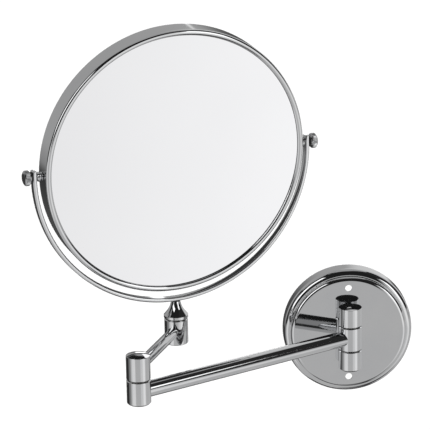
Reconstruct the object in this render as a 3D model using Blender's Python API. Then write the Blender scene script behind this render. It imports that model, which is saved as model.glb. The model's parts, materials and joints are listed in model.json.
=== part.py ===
"""Extendable shaving mirror for a bathroom wall.

A stamped round wall plate carries a three-knuckle hinge. A thick main arm swings on it
and ends in a two-knuckle elbow, a thinner forearm goes back from the elbow to an upright
socket, and a half-round yoke turns in that socket. The yoke holds a round double-sided
mirror between two knurled thumbscrews, so the mirror tilts right over.

Units are metres. +Z is up, +Y points into the wall, and the wall's surface is y = 0.
The origin is the middle of the wall plate's back. Each moving group hangs from an empty
that stands on its joint's axis, so turning an empty about its own axis moves the joint.
"""

import math

import bmesh
import bpy
from mathutils import Matrix, Vector

MM = 0.001
GAP = 0.3 * MM  # clearance between pieces that touch or run on each other

# Angles at rest, in degrees.
ARM_ANGLE = 30.0  # main arm, out from the wall, towards the left
FOREARM_ANGLE = 67.3  # forearm, from +X back towards the wall
YOKE_ANGLE = 18.4  # yoke's pivot axis, from +X
MIRROR_TILT = 4.0  # mirror's face, turned down from upright

# Wall plate: one pressed sheet with a straight skirt, a round shoulder and a raised face.
PLATE_RADIUS = 49.5 * MM
PLATE_SKIRT = 9.6 * MM
PLATE_SHOULDER = 4.4 * MM
PLATE_STEP_RADIUS = 44.9 * MM
PLATE_EDGE = 3.1 * MM
PLATE_FACE_RADIUS = 41.7 * MM
PLATE_DEPTH = 17.4 * MM
PLATE_SHEET = 1.2 * MM
WALL_SCREW_OFFSET = 36.0 * MM
WALL_SCREW_HOLE = 2.65 * MM

# Spacer puck behind the plate's face, and the two screws that hold the hinge through it.
SPACER_RADIUS = 24.0 * MM
BRACKET_SCREW_OFFSET = 17.6 * MM
BRACKET_SCREW_RADIUS = 1.6 * MM
BRACKET_SCREW_HEAD = 3.6 * MM
BRACKET_SCREW_HEAD_HEIGHT = 2.4 * MM
BRACKET_SCREW_SEAT = 13.0 * MM  # where the heads seat, out from the wall
BRACKET_SCREW_END = 23.0 * MM

# Hinge barrels.
BARREL_RADIUS = 8.9 * MM
BARREL_CROWN = 1.3 * MM
BARREL_CHAMFER = 0.5 * MM
FOOT_CHAMFER = 1.0 * MM
WASHER_RADIUS = 7.0 * MM
WASHER_HEIGHT = 1.4 * MM
PIN_RADIUS = 2.5 * MM
PIN_HEAD_RADIUS = 5.4 * MM
PIN_HEAD_HEIGHT = 2.0 * MM
PIN_TIP_RADIUS = 1.7 * MM
BUSH_WALL = 0.8 * MM
RECESS_RADIUS = 6.0 * MM
CAP_HEIGHT = 1.7 * MM
CAP_INSET = 0.2 * MM
SPIGOT_ROOT = 6.0 * MM  # a spigot and its tube start this far from a barrel's axis
COPE_SIDES = 32

# Wall hinge, about its own vertical axis.
BASE_AXIS_DEPTH = 27.5 * MM
BASE_TOP = 25.6 * MM
BASE_MID = 9.3 * MM
BASE_SLOT = 0.6 * MM  # open line between two knuckles
BASE_PIN_SEAT = -20.5 * MM
BASE_PIN_SHOULDER = 18.7 * MM
BASE_PIN_TIP = 21.7 * MM
FOOT_WIDTH = 6.4 * MM
FOOT_ROOT = 7.0 * MM
FOOT_LOW = 12.1 * MM
FOOT_HIGH = 23.1 * MM

# Main arm.
ARM_LENGTH = 192.2 * MM
ARM_RADIUS = 6.0 * MM
ARM_BORE = 4.8 * MM

# Elbow.
ELBOW_BOTTOM = -9.2 * MM
ELBOW_SPLIT = 9.6 * MM
ELBOW_TOP = 29.3 * MM
ELBOW_PIN_SEAT = -4.6 * MM
ELBOW_PIN_SHOULDER = 21.2 * MM
ELBOW_PIN_TIP = 24.7 * MM

# Forearm.
FOREARM_LENGTH = 83.8 * MM
FOREARM_HEIGHT = 18.6 * MM
FOREARM_RADIUS = 4.25 * MM
FOREARM_BORE = 3.0 * MM
SPIGOT_REACH = 21.0 * MM  # how far a spigot stands out from its barrel's axis

# Upright socket and the cone above it.
SOCKET_BOTTOM = 8.6 * MM
SOCKET_TOP = 28.0 * MM
SOCKET_RECESS = 14.1 * MM
CONE_BOTTOM = 28.6 * MM
CONE_BAND = 2.7 * MM
CONE_RADIUS = 9.2 * MM
CONE_NECK = 3.5 * MM
CONE_HOLLOW = 1.1 * MM  # how far the taper sinks in below a straight one
STEM_RADIUS = 2.0 * MM
STEM_END = 9.1 * MM
STEM_COVER = 1.0 * MM  # metal of the yoke left above the stem's hole
LOCK_NUT_RADIUS = 4.0 * MM
LOCK_NUT_LOW = 9.7 * MM
LOCK_NUT_HIGH = 12.7 * MM
SPRING_WASHER_RADIUS = 5.4 * MM
SPRING_WASHER_HIGH = 13.8 * MM

# Yoke.
PIVOT_HEIGHT = 152.75 * MM
YOKE_RADIUS = 110.0 * MM
YOKE_DROP = 0.6 * MM  # the half circle's centre is this far below the pivot axis
YOKE_THICKNESS = 3.2 * MM
YOKE_WIDTH = 6.6 * MM
YOKE_CORNER = 1.2 * MM
YOKE_STATIONS = 36
YOKE_WASHER_RADIUS = 4.2 * MM
YOKE_TIP = 5.6 * MM  # how far the tips stand above that centre

# Mirror head: radii across its own axis, depths from the middle of its rim.
RIM_RADIUS = 102.0 * MM
RIM_HALF_DEPTH = 8.4 * MM
RIM_FORWARD = 1.2 * MM  # middle of the rim's depth, in front of the pivot axis
RIM_SHEET = 1.2 * MM
RIM_ROLL = 2.4 * MM  # rounding from the band to the lip
LIP_RADIUS = 97.75 * MM
LIP_THICKNESS = 1.6 * MM
LIP_ROLL = 1.4 * MM  # rounding of the lip's inner edge
SEAT_RADIUS = 100.4 * MM  # glass, gasket and frame
GLASS_THICKNESS = 3.0 * MM
GLASS_GAP = 0.25 * MM
GASKET_WIDTH = 4.0 * MM
GASKET_THICKNESS = 0.5 * MM
MAGNIFIER_THICKNESS = 2.2 * MM
MAGNIFIER_EDGE = 1.5 * MM  # its back edge, in from the rim's back
MAGNIFIER_CURVE = 900.0 * MM  # radius of the concave face, for about three times enlargement
BEZEL_THICKNESS = 1.2 * MM
FRAME_INNER_RADIUS = 92.5 * MM
FRAME_LOW = -3.4 * MM
FRAME_HIGH = 2.5 * MM
BOSS_HALF_HEIGHT = 6.0 * MM
BOSS_HALF_WIDTH = 2.3 * MM
BOSS_INNER = 94.0 * MM

# Thumbscrews and the turned beads inside the yoke.
SHANK_RADIUS = 1.7 * MM
SHANK_HOLE = SHANK_RADIUS + GAP
SHANK_END = 94.6 * MM
BEAD_RADIUS = 3.65 * MM
BEAD_FOOT_RADIUS = 3.4 * MM
BEAD_NECK_RADIUS = 2.4 * MM
BEAD_BALL = 1.8 * MM  # the ball's middle, in from the yoke
KNOB_RADIUS = 5.75 * MM
KNOB_START = 111.3 * MM
KNOB_COLLAR_RADIUS = 4.0 * MM
KNOB_COLLAR_HEIGHT = 0.6 * MM
KNOB_EDGE = 1.1 * MM
KNOB_END = 116.3 * MM

# Facets round each kind of turned piece.
RIM_SIDES = 72
PLATE_SIDES = 48
BARREL_SIDES = 24
SMALL_SIDES = 12

MATERIALS = {
    "chrome": ((0.80, 0.81, 0.82, 1.0), 0.06, 1.0),
    "mirror": ((0.93, 0.94, 0.95, 1.0), 0.01, 1.0),
    "steel": ((0.55, 0.56, 0.58, 1.0), 0.32, 1.0),
    "nylon": ((0.85, 0.84, 0.80, 1.0), 0.45, 0.0),
    "black_plastic": ((0.03, 0.03, 0.03, 1.0), 0.50, 0.0),
    "rubber": ((0.02, 0.02, 0.02, 1.0), 0.80, 0.0),
}


def clear_scene():
    for obj in list(bpy.data.objects):
        bpy.data.objects.remove(obj)


def make_material(name):
    color, roughness, metallic = MATERIALS[name]
    material = bpy.data.materials.new(name)
    material.use_nodes = True
    shader = material.node_tree.nodes["Principled BSDF"]
    shader.inputs["Base Color"].default_value = color
    shader.inputs["Roughness"].default_value = roughness
    shader.inputs["Metallic"].default_value = metallic
    return material


def material_of(name):
    return bpy.data.materials.get(name) or make_material(name)


def frame_empty(name, parent, location, rotation=(0.0, 0.0, 0.0)):
    """An empty that stands on a joint's axis."""
    empty = bpy.data.objects.new(name, None)
    bpy.context.scene.collection.objects.link(empty)
    empty.parent = parent
    empty.location = location
    empty.rotation_euler = [math.radians(angle) for angle in rotation]
    empty.empty_display_size = 0.02
    return empty


def finish(name, bm, material, parent):
    """Turns a bmesh into a named object under its empty, smooth on its round faces."""
    bmesh.ops.remove_doubles(bm, verts=bm.verts, dist=1e-7)
    bmesh.ops.recalc_face_normals(bm, faces=bm.faces)
    mesh = bpy.data.meshes.new(name)
    bm.to_mesh(mesh)
    bm.free()
    mesh.shade_smooth()
    mesh.set_sharp_from_angle(angle=math.radians(35))
    mesh.materials.append(material_of(material))
    obj = bpy.data.objects.new(name, mesh)
    bpy.context.scene.collection.objects.link(obj)
    obj.parent = parent
    return obj


def arc(center, radius, start, end, steps):
    """Points (radius, height) round part of a circle, angles in degrees."""
    angles = [math.radians(start + (end - start) * i / steps) for i in range(steps + 1)]
    return [(center[0] + radius * math.cos(a), center[1] + radius * math.sin(a)) for a in angles]


def turned_bmesh(profile, sides, bored):
    """Spins (radius, height) points about Z. A bored piece's profile is a closed loop."""
    bm = bmesh.new()
    verts = [bm.verts.new((radius, 0.0, height)) for radius, height in profile]
    pairs = list(zip(verts, verts[1:]))
    if bored:
        pairs.append((verts[-1], verts[0]))
    edges = [bm.edges.new(pair) for pair in pairs]
    bmesh.ops.spin(
        bm,
        geom=verts + edges,
        cent=(0.0, 0.0, 0.0),
        axis=(0.0, 0.0, 1.0),
        angle=2.0 * math.pi,
        steps=sides,
        use_merge=True,
    )
    bmesh.ops.remove_doubles(bm, verts=bm.verts, dist=1e-7)
    return bm


def turned(name, profile, material, parent, sides=BARREL_SIDES, bored=True, lay=None):
    """A turned solid. lay is the matrix that swings its Z axis to where it points."""
    bm = turned_bmesh(profile, sides, bored)
    if lay is not None:
        bm.transform(lay)
    return finish(name, bm, material, parent)


FACING_FRONT = Matrix.Rotation(math.pi / 2, 4, "X")  # Z to -Y
FACING_BACK = Matrix.Rotation(-math.pi / 2, 4, "X")  # Z to +Y
FACING_RIGHT = Matrix.Rotation(math.pi / 2, 4, "Y")  # Z to +X
FACING_LEFT = Matrix.Rotation(-math.pi / 2, 4, "Y")  # Z to -X


def rod_profile(radius, low, high):
    return [(0.0, high), (radius, high), (radius, low), (0.0, low)]


def tube_profile(inner, outer, low, high):
    return [(inner, high), (outer, high), (outer, low), (inner, low)]


def helper(name, bm, parent):
    """A hidden shape that only serves a Boolean."""
    obj = finish(name, bm, "steel", parent)
    obj.hide_render = True
    obj.display_type = "WIRE"
    return obj


def rod_helper(name, radius, low, high, parent, lay=None, offset=(0.0, 0.0, 0.0),
               sides=SMALL_SIDES):
    bm = turned_bmesh(rod_profile(radius, low, high), sides, False)
    if lay is not None:
        bm.transform(lay)
    bm.transform(Matrix.Translation(Vector(offset)))
    return helper(name, bm, parent)


def box_helper(name, low, high, parent):
    bm = bmesh.new()
    bmesh.ops.create_cube(bm, size=1.0)
    middle = [(a + b) / 2 for a, b in zip(low, high)]
    size = [b - a for a, b in zip(low, high)]
    bm.transform(Matrix.Translation(Vector(middle)) @ Matrix.Diagonal(Vector(size + [1.0])))
    return helper(name, bm, parent)


def combine(obj, other, operation):
    modifier = obj.modifiers.new(operation.lower() + "_" + other.name, "BOOLEAN")
    modifier.operation = operation
    modifier.solver = "EXACT"
    modifier.object = other


def crown_profile(radius, edge_height, crown, steps=3):
    """The domed top of a barrel, from its middle out to its edge."""
    curve = (radius * radius + crown * crown) / (2.0 * crown)
    points = []
    for i in range(steps + 1):
        r = radius * i / steps
        points.append((r, edge_height + crown - (curve - math.sqrt(curve * curve - r * r))))
    return points


def plate_outline():
    """(radius, depth) of the plate's outside, from the middle of its face to the wall."""
    step_depth = PLATE_SKIRT + PLATE_SHOULDER
    face_edge = (PLATE_FACE_RADIUS, PLATE_DEPTH - PLATE_EDGE)
    shoulder = (PLATE_RADIUS - PLATE_SHOULDER, PLATE_SKIRT)
    outline = [(0.0, PLATE_DEPTH)]
    outline += arc(face_edge, PLATE_EDGE, 90.0, 8.0, 3)
    outline += [(PLATE_STEP_RADIUS, step_depth + 0.5 * MM)]
    outline += arc(shoulder, PLATE_SHOULDER, 88.0, 0.0, 4)
    outline += [(PLATE_RADIUS, 0.0)]
    return outline


def plate_inside():
    """The same sheet's inside, from the wall back to the middle."""
    step_depth = PLATE_SKIRT + PLATE_SHOULDER - PLATE_SHEET
    face_edge = (PLATE_FACE_RADIUS, PLATE_DEPTH - PLATE_EDGE)
    shoulder = (PLATE_RADIUS - PLATE_SHOULDER, PLATE_SKIRT)
    inside = [(PLATE_RADIUS - PLATE_SHEET, 0.0)]
    inside += arc(shoulder, PLATE_SHOULDER - PLATE_SHEET, 0.0, 88.0, 2)
    inside += [(PLATE_STEP_RADIUS - PLATE_SHEET, step_depth + 0.3 * MM)]
    inside += arc(face_edge, PLATE_EDGE - PLATE_SHEET, 8.0, 90.0, 2)
    inside += [(0.0, PLATE_DEPTH - PLATE_SHEET)]
    return inside


def build_wall_plate(parent):
    plate = turned("wall_plate", plate_outline() + plate_inside(), "chrome", parent,
                   PLATE_SIDES, bored=False, lay=FACING_FRONT)
    for side, word in ((1, "upper"), (-1, "lower")):
        hole = rod_helper(f"cut_wall_screw_{word}", WALL_SCREW_HOLE, 10 * MM, 25 * MM, parent,
                          FACING_FRONT, (0.0, 0.0, side * WALL_SCREW_OFFSET))
        combine(plate, hole, "DIFFERENCE")
        passage = rod_helper(f"cut_plate_{word}", BRACKET_SCREW_RADIUS + GAP, 10 * MM, 25 * MM,
                             parent, FACING_FRONT, (0.0, 0.0, side * BRACKET_SCREW_OFFSET))
        combine(plate, passage, "DIFFERENCE")


def build_wall_spacer(parent):
    thickness = PLATE_DEPTH - PLATE_SHEET - GAP
    profile = rod_profile(SPACER_RADIUS, 0.0, thickness)
    spacer = turned("wall_spacer", profile, "black_plastic", parent,
                    PLATE_SIDES, bored=False, lay=FACING_FRONT)
    for side, word in ((1, "upper"), (-1, "lower")):
        place = (0.0, 0.0, side * BRACKET_SCREW_OFFSET)
        passage = rod_helper(f"cut_spacer_{word}", BRACKET_SCREW_RADIUS + GAP, -2 * MM, 20 * MM,
                             parent, FACING_FRONT, place)
        combine(spacer, passage, "DIFFERENCE")
        well = rod_helper(f"cut_spacer_well_{word}", BRACKET_SCREW_HEAD + 2 * GAP, -2 * MM,
                          BRACKET_SCREW_SEAT, parent, FACING_FRONT, place)
        combine(spacer, well, "DIFFERENCE")


def build_bracket_screws(parent):
    """Pan-head screws from the back, through spacer and plate into the knuckles' feet."""
    head_high = BRACKET_SCREW_SEAT - GAP
    head_low = head_high - BRACKET_SCREW_HEAD_HEIGHT
    profile = [
        (0.0, BRACKET_SCREW_END),
        (BRACKET_SCREW_RADIUS, BRACKET_SCREW_END),
        (BRACKET_SCREW_RADIUS, head_high),
        (BRACKET_SCREW_HEAD, head_high),
        (BRACKET_SCREW_HEAD, head_low + 0.8 * MM),
        (BRACKET_SCREW_HEAD - 1.0 * MM, head_low),
        (0.0, head_low),
    ]
    for side, word in ((1, "upper"), (-1, "lower")):
        lay = Matrix.Translation((0.0, 0.0, side * BRACKET_SCREW_OFFSET)) @ FACING_FRONT
        turned(f"bracket_screw_{word}", profile, "steel", parent, SMALL_SIDES, False, lay)


def add_foot(knuckle, word, low, high, parent):
    """The short cast foot between a fixed knuckle and the plate, with its screw hole."""
    reach = BASE_AXIS_DEPTH - PLATE_DEPTH - GAP
    foot = box_helper(f"join_foot_{word}", (-FOOT_WIDTH / 2, FOOT_ROOT, low),
                      (FOOT_WIDTH / 2, reach, high), parent)
    combine(knuckle, foot, "UNION")
    depth = BASE_AXIS_DEPTH - BRACKET_SCREW_END - GAP
    hole = rod_helper(f"cut_foot_{word}", BRACKET_SCREW_RADIUS + GAP, depth, 15 * MM,
                      parent, FACING_BACK, (0.0, 0.0, (low + high) / 2))
    combine(knuckle, hole, "DIFFERENCE")


def build_bracket_knuckles(parent):
    low = BASE_MID + BASE_SLOT
    bore = PIN_RADIUS + GAP
    tip_bore = PIN_TIP_RADIUS + GAP
    edge = BASE_TOP - BARREL_CROWN
    upper_profile = crown_profile(BARREL_RADIUS, edge, BARREL_CROWN)
    upper_profile += [
        (BARREL_RADIUS, low + BARREL_CHAMFER),
        (BARREL_RADIUS - BARREL_CHAMFER, low),
        (bore, low),
        (bore, BASE_PIN_SHOULDER + GAP),
        (tip_bore, BASE_PIN_SHOULDER + GAP),
        (tip_bore, BASE_PIN_TIP + GAP),
        (0.0, BASE_PIN_TIP + GAP),
    ]
    upper = turned("upper_bracket_knuckle", upper_profile, "chrome", parent, bored=False)
    add_foot(upper, "upper", FOOT_LOW, FOOT_HIGH, parent)

    lower_profile = [
        (bore, -low),
        (BARREL_RADIUS - BARREL_CHAMFER, -low),
        (BARREL_RADIUS, -low - BARREL_CHAMFER),
        (BARREL_RADIUS, -BASE_TOP + FOOT_CHAMFER),
        (BARREL_RADIUS - FOOT_CHAMFER, -BASE_TOP),
        (RECESS_RADIUS, -BASE_TOP),
        (RECESS_RADIUS, BASE_PIN_SEAT),
        (bore, BASE_PIN_SEAT),
    ]
    lower = turned("lower_bracket_knuckle", lower_profile, "chrome", parent)
    add_foot(lower, "lower", -FOOT_HIGH, -FOOT_LOW, parent)


def pin_profile(seat, shoulder, tip):
    """A shoulder screw: flat head under its seat, plain shank, thinner threaded tip."""
    return [
        (0.0, tip),
        (PIN_TIP_RADIUS, tip),
        (PIN_TIP_RADIUS, shoulder),
        (PIN_RADIUS, shoulder),
        (PIN_RADIUS, seat - GAP),
        (PIN_HEAD_RADIUS, seat - GAP),
        (PIN_HEAD_RADIUS, seat - GAP - PIN_HEAD_HEIGHT + 0.5 * MM),
        (PIN_HEAD_RADIUS - 0.5 * MM, seat - GAP - PIN_HEAD_HEIGHT),
        (0.0, seat - GAP - PIN_HEAD_HEIGHT),
    ]


def cap_profile(bottom):
    """A press-in plug, flush with the barrel's end."""
    radius = RECESS_RADIUS - GAP
    return [
        (0.0, bottom + CAP_HEIGHT),
        (radius, bottom + CAP_HEIGHT),
        (radius, bottom + 0.3 * MM),
        (radius - 0.3 * MM, bottom),
        (0.0, bottom),
    ]


def washer_profile(inner, low):
    return tube_profile(inner, WASHER_RADIUS, low, low + WASHER_HEIGHT)


def build_base_hardware(parent):
    pin = pin_profile(BASE_PIN_SEAT, BASE_PIN_SHOULDER, BASE_PIN_TIP)
    turned("base_pivot_pin", pin, "steel", parent, SMALL_SIDES, False)
    turned("base_end_cap", cap_profile(-BASE_TOP + CAP_INSET), "chrome", parent, bored=False)
    inner = PIN_RADIUS + GAP
    top = BASE_MID - WASHER_HEIGHT + GAP
    turned("base_washer_upper", washer_profile(inner, top), "nylon", parent)
    turned("base_washer_lower", washer_profile(inner, -top - WASHER_HEIGHT), "nylon", parent)


def add_spigot(knuckle, word, radius, height, direction, parent):
    """The round stub that a tube is pushed over and brazed to."""
    lay = FACING_RIGHT if direction > 0 else FACING_LEFT
    stub = rod_helper(f"join_spigot_{word}", radius, SPIGOT_ROOT, SPIGOT_REACH, parent, lay,
                      (0.0, 0.0, height))
    combine(knuckle, stub, "UNION")


def swivel_profile(low, high, bore):
    """A plain barrel with a washer recess in either end."""
    washer_seat = WASHER_RADIUS + GAP
    return [
        (bore, high - WASHER_HEIGHT),
        (washer_seat, high - WASHER_HEIGHT),
        (washer_seat, high),
        (BARREL_RADIUS - BARREL_CHAMFER, high),
        (BARREL_RADIUS, high - BARREL_CHAMFER),
        (BARREL_RADIUS, low + BARREL_CHAMFER),
        (BARREL_RADIUS - BARREL_CHAMFER, low),
        (washer_seat, low),
        (washer_seat, low + WASHER_HEIGHT),
        (bore, low + WASHER_HEIGHT),
    ]


def coped_tube(name, outer, inner, length, height, parent):
    """A round tube along +X whose two ends are hollowed to fit round the barrels."""
    profile = tube_profile(inner, outer, SPIGOT_ROOT, length - SPIGOT_ROOT)
    bm = turned_bmesh(profile, BARREL_SIDES, True)
    bm.transform(Matrix.Translation((0.0, 0.0, height)) @ FACING_RIGHT)
    tube = finish(name, bm, "chrome", parent)
    for place, word in ((0.0, "near"), (length, "far")):
        cope = rod_helper(f"cut_{name}_{word}", BARREL_RADIUS + GAP, height - 15 * MM,
                          height + 15 * MM, parent, None, (place, 0.0, 0.0), COPE_SIDES)
        combine(tube, cope, "DIFFERENCE")


def build_main_arm(parent):
    bush_outer = PIN_RADIUS + GAP + BUSH_WALL
    bore = bush_outer + GAP
    hub = turned("base_swivel_knuckle", swivel_profile(-BASE_MID, BASE_MID, bore), "chrome",
                 parent)
    add_spigot(hub, "base", ARM_BORE - GAP, 0.0, 1, parent)
    bush_end = BASE_MID - WASHER_HEIGHT
    turned("base_bush", tube_profile(PIN_RADIUS + GAP, bush_outer, -bush_end, bush_end), "nylon",
           parent, SMALL_SIDES)
    coped_tube("main_arm_tube", ARM_RADIUS, ARM_BORE, ARM_LENGTH, 0.0, parent)


def build_elbow_lower(parent):
    """The main arm's end knuckle, hollowed below for the pin's head and its plug."""
    bush_outer = PIN_RADIUS + GAP + BUSH_WALL
    bore = bush_outer + GAP
    high = ELBOW_SPLIT - BASE_SLOT / 2
    profile = [
        (bore, high),
        (BARREL_RADIUS - BARREL_CHAMFER, high),
        (BARREL_RADIUS, high - BARREL_CHAMFER),
        (BARREL_RADIUS, ELBOW_BOTTOM + FOOT_CHAMFER),
        (BARREL_RADIUS - FOOT_CHAMFER, ELBOW_BOTTOM),
        (RECESS_RADIUS, ELBOW_BOTTOM),
        (RECESS_RADIUS, ELBOW_PIN_SEAT),
        (bore, ELBOW_PIN_SEAT),
    ]
    knuckle = turned("elbow_lower_knuckle", profile, "chrome", parent)
    add_spigot(knuckle, "elbow_lower", ARM_BORE - GAP, 0.0, -1, parent)
    bush = tube_profile(PIN_RADIUS + GAP, bush_outer, ELBOW_PIN_SEAT + GAP, high - GAP)
    turned("elbow_bush", bush, "nylon", parent, SMALL_SIDES)
    turned("elbow_end_cap", cap_profile(ELBOW_BOTTOM + CAP_INSET), "chrome", parent, bored=False)


def build_forearm(parent):
    """The forearm's elbow knuckle with its blind bore, the pin in it, and the thin tube."""
    low = ELBOW_SPLIT + BASE_SLOT / 2
    washer_seat = WASHER_RADIUS + GAP
    bore = PIN_RADIUS + GAP
    tip_bore = PIN_TIP_RADIUS + GAP
    profile = crown_profile(BARREL_RADIUS, ELBOW_TOP - BARREL_CROWN, BARREL_CROWN)
    profile += [
        (BARREL_RADIUS, low + BARREL_CHAMFER),
        (BARREL_RADIUS - BARREL_CHAMFER, low),
        (washer_seat, low),
        (washer_seat, low + WASHER_HEIGHT),
        (bore, low + WASHER_HEIGHT),
        (bore, ELBOW_PIN_SHOULDER + GAP),
        (tip_bore, ELBOW_PIN_SHOULDER + GAP),
        (tip_bore, ELBOW_PIN_TIP + GAP),
        (0.0, ELBOW_PIN_TIP + GAP),
    ]
    knuckle = turned("elbow_upper_knuckle", profile, "chrome", parent, bored=False)
    add_spigot(knuckle, "elbow_upper", FOREARM_BORE - GAP, FOREARM_HEIGHT, 1, parent)
    pin = pin_profile(ELBOW_PIN_SEAT, ELBOW_PIN_SHOULDER, ELBOW_PIN_TIP)
    turned("elbow_pivot_pin", pin, "steel", parent, SMALL_SIDES, False)
    turned("elbow_washer", washer_profile(bore, low - GAP), "nylon", parent)
    coped_tube("forearm_tube", FOREARM_RADIUS, FOREARM_BORE, FOREARM_LENGTH, FOREARM_HEIGHT,
               parent)


def build_stem_socket(parent):
    """The upright socket at the forearm's end, with the stem's bush inside."""
    bush_inner = STEM_RADIUS + GAP
    bush_outer = bush_inner + BUSH_WALL
    bore = bush_outer + GAP
    washer_seat = WASHER_RADIUS + GAP
    profile = [
        (bore, SOCKET_TOP - WASHER_HEIGHT),
        (washer_seat, SOCKET_TOP - WASHER_HEIGHT),
        (washer_seat, SOCKET_TOP),
        (BARREL_RADIUS - BARREL_CHAMFER, SOCKET_TOP),
        (BARREL_RADIUS, SOCKET_TOP - BARREL_CHAMFER),
        (BARREL_RADIUS, SOCKET_BOTTOM + BARREL_CHAMFER),
        (BARREL_RADIUS - BARREL_CHAMFER, SOCKET_BOTTOM),
        (RECESS_RADIUS, SOCKET_BOTTOM),
        (RECESS_RADIUS, SOCKET_RECESS),
        (bore, SOCKET_RECESS),
    ]
    socket = turned("stem_socket", profile, "chrome", parent)
    add_spigot(socket, "socket", FOREARM_BORE - GAP, FOREARM_HEIGHT, -1, parent)
    bush = tube_profile(bush_inner, bush_outer, SOCKET_RECESS + GAP,
                        SOCKET_TOP - WASHER_HEIGHT)
    turned("stem_bush", bush, "nylon", parent, SMALL_SIDES)


def cone_profile():
    """A straight band, then a hollow taper up to the neck under the yoke."""
    top = yoke_bottom() - GAP
    bore = STEM_RADIUS + GAP
    start = CONE_BOTTOM + CONE_BAND
    profile = [(bore, top)]
    for i in range(6):
        share = 1.0 - i / 5
        hollow = CONE_HOLLOW * math.sin(math.pi * share)
        radius = CONE_NECK + (CONE_RADIUS - 0.3 * MM - CONE_NECK) * (1.0 - share) - hollow
        profile.append((radius, start + (top - start) * share))
    profile += [
        (CONE_RADIUS, start - 0.3 * MM),
        (CONE_RADIUS, CONE_BOTTOM + 0.4 * MM),
        (BARREL_RADIUS - 0.2 * MM, CONE_BOTTOM),
        (bore, CONE_BOTTOM),
    ]
    return profile


def build_stem(parent):
    turned("stem_cone", cone_profile(), "chrome", parent)
    washer_low = SOCKET_TOP - WASHER_HEIGHT + GAP
    turned("stem_washer", washer_profile(STEM_RADIUS + GAP, washer_low), "nylon", parent)
    stud = rod_profile(STEM_RADIUS, STEM_END, stem_hole_top() - GAP)
    turned("stem_stud", stud, "steel", parent, SMALL_SIDES, False)
    inner = STEM_RADIUS + GAP
    nut = tube_profile(inner, LOCK_NUT_RADIUS, LOCK_NUT_LOW, LOCK_NUT_HIGH)
    turned("stem_lock_nut", nut, "steel", parent, 6)
    washer = tube_profile(inner, SPRING_WASHER_RADIUS, LOCK_NUT_HIGH + GAP, SPRING_WASHER_HIGH)
    turned("stem_spring_washer", washer, "steel", parent, SMALL_SIDES)


def yoke_bottom():
    """Height of the bar's outer surface at its lowest point."""
    return PIVOT_HEIGHT - YOKE_DROP - YOKE_RADIUS


def stem_hole_top():
    """Height of the blind end of the stem's hole in the yoke."""
    return yoke_bottom() + YOKE_THICKNESS - STEM_COVER


def yoke_stations():
    """(place, outward direction) along the bar, from the left tip to the right tip."""
    middle = YOKE_RADIUS - YOKE_THICKNESS / 2
    stations = [(Vector((-middle, 0.0, YOKE_TIP)), Vector((-1.0, 0.0, 0.0)))]
    for i in range(YOKE_STATIONS + 1):
        angle = math.pi + math.pi * i / YOKE_STATIONS
        outward = Vector((math.cos(angle), 0.0, math.sin(angle)))
        stations.append((outward * middle, outward))
    stations.append((Vector((middle, 0.0, YOKE_TIP)), Vector((1.0, 0.0, 0.0))))
    return stations


def yoke_section():
    """(outward, across) points of the bar's rounded section."""
    half_thickness = YOKE_THICKNESS / 2 - YOKE_CORNER
    half_width = YOKE_WIDTH / 2 - YOKE_CORNER
    section = []
    for turn, (a, b) in enumerate(((1, 1), (-1, 1), (-1, -1), (1, -1))):
        section += arc((a * half_thickness, b * half_width), YOKE_CORNER, 90 * turn,
                       90 * turn + 90, 2)
    return section


def build_yoke(parent):
    bm = bmesh.new()
    rings = []
    for place, outward in yoke_stations():
        ring = []
        for out, across in yoke_section():
            ring.append(bm.verts.new(place + outward * out + Vector((0.0, across, 0.0))))
        rings.append(ring)
    for first, second in zip(rings, rings[1:]):
        for i in range(len(first)):
            j = (i + 1) % len(first)
            bm.faces.new((first[i], first[j], second[j], second[i]))
    bm.faces.new(rings[0])
    bm.faces.new(rings[-1])
    bm.transform(Matrix.Translation((0.0, 0.0, PIVOT_HEIGHT - YOKE_DROP)))
    yoke = finish("yoke_band", bm, "chrome", parent)
    for side, word in ((-1, "left"), (1, "right")):
        hole = rod_helper(f"cut_yoke_{word}", SHANK_HOLE, 100 * MM, 120 * MM, parent,
                          FACING_RIGHT if side > 0 else FACING_LEFT, (0.0, 0.0, PIVOT_HEIGHT))
        combine(yoke, hole, "DIFFERENCE")
    hole = rod_helper("cut_yoke_stem", STEM_RADIUS + GAP, CONE_BOTTOM, stem_hole_top(), parent)
    combine(yoke, hole, "DIFFERENCE")
    for side, word in ((-1, "left"), (1, "right")):
        lay = Matrix.Translation((0.0, 0.0, PIVOT_HEIGHT))
        lay = lay @ (FACING_RIGHT if side > 0 else FACING_LEFT)
        washer = tube_profile(SHANK_HOLE, YOKE_WASHER_RADIUS, YOKE_RADIUS + GAP,
                              KNOB_START - GAP)
        turned(f"yoke_washer_{word}", washer, "black_plastic", parent, SMALL_SIDES, True, lay)


def rim_profile():
    """(radius, forward) loop of the rim: a flat band with its front edge rolled inwards."""
    front = RIM_HALF_DEPTH
    inner = RIM_RADIUS - RIM_SHEET
    profile = [
        (RIM_RADIUS, -front + 0.3 * MM),
        (RIM_RADIUS - 0.3 * MM, -front),
        (inner, -front),
        (inner, front - LIP_THICKNESS),
        (LIP_RADIUS, front - LIP_THICKNESS),
    ]
    profile += arc((LIP_RADIUS + LIP_ROLL, front - LIP_ROLL), LIP_ROLL, 180.0, 90.0, 2)
    profile += arc((RIM_RADIUS - RIM_ROLL, front - RIM_ROLL), RIM_ROLL, 90.0, 0.0, 4)
    return profile


def magnifier_profile():
    """A dished glass, hollow towards the back, with the same curve on both its faces."""
    back_edge = -RIM_HALF_DEPTH + MAGNIFIER_EDGE
    rings = 3
    back = []
    for i in range(rings, -1, -1):
        radius = SEAT_RADIUS * i / rings
        depth = (SEAT_RADIUS * SEAT_RADIUS - radius * radius) / (2.0 * MAGNIFIER_CURVE)
        back.append((radius, back_edge + depth))
    front = [(radius, height + MAGNIFIER_THICKNESS) for radius, height in reversed(back)]
    return front + back


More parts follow.
